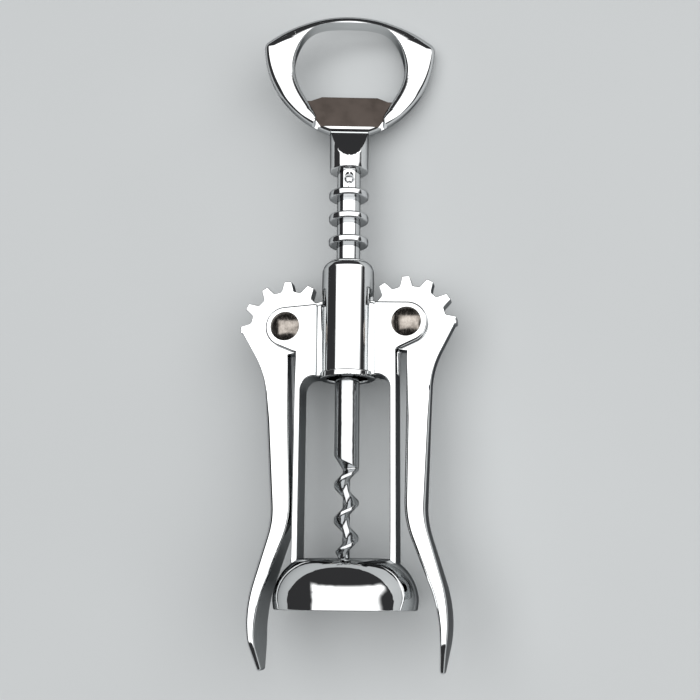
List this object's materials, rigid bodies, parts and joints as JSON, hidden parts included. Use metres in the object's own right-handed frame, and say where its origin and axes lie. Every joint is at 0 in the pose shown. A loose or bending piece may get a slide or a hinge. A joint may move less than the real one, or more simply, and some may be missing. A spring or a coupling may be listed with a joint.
{
  "type": "wing corkscrew",
  "caption": "Wing corkscrew of polished metal: a bell and sleeve frame, geared levers that lift a ringed rack, and a worm turned by a crown-cap opener head.",
  "frame": {"origin": "centre of the bell's mouth, on the worm's axis", "axes": "+X across the levers, to the right seen from the front; +Y up the long axis from the bell to the opener head; +Z out of the front face"},
  "size_m": [0.0588, 0.18, 0.0372],
  "materials": {
    "chrome_casting": "polished chrome plate on a zinc casting",
    "chrome_lever": "polished chrome plate on a zinc casting",
    "chrome_rack": "bright chrome plate, as turned",
    "chrome_head": "polished chrome plate on a zinc casting",
    "worm_steel": "chrome plate on a steel worm",
    "nickel_rivet": "worn nickel plate with fine scratches"
  },
  "bodies": {
    "frame": {"frame": "chrome_casting", "left_rivet": "nickel_rivet", "right_rivet": "nickel_rivet", "left_rivet_washer": "nickel_rivet", "right_rivet_washer": "nickel_rivet"},
    "left_lever": {"left_lever": "chrome_lever"},
    "right_lever": {"right_lever": "chrome_lever"},
    "rack": {"rack": "chrome_rack"},
    "spindle": {"worm": "worm_steel", "opener_head": "chrome_head", "cross_pin": "nickel_rivet"}
  },
  "joints": [
    {"name": "left_lever_hinge", "type": "hinge", "parent": "frame", "child": "left_lever", "pos_m": [-0.0164, 0.0738, 0], "axis": [0, 0, -1], "range_deg": [0, 115]},
    {"name": "right_lever_hinge", "type": "hinge", "parent": "frame", "child": "right_lever", "pos_m": [0.0164, 0.0738, 0], "axis": [0, 0, 1], "range_deg": [0, 115]},
    {"name": "rack_slide", "type": "slide", "parent": "frame", "child": "rack", "axis": [0, -1, 0], "range_m": [0, 0.0257]},
    {"name": "spindle_turn", "type": "hinge", "parent": "rack", "child": "spindle", "pos_m": [0, 0.09, 0], "axis": [0, 1, 0], "continuous": true}
  ],
  "couplings": [
    {"joint": "right_lever_hinge", "follows": "left_lever_hinge", "ratio": 1},
    {"joint": "rack_slide", "follows": "left_lever_hinge", "m_per_rad": 0.012796}
  ]
}
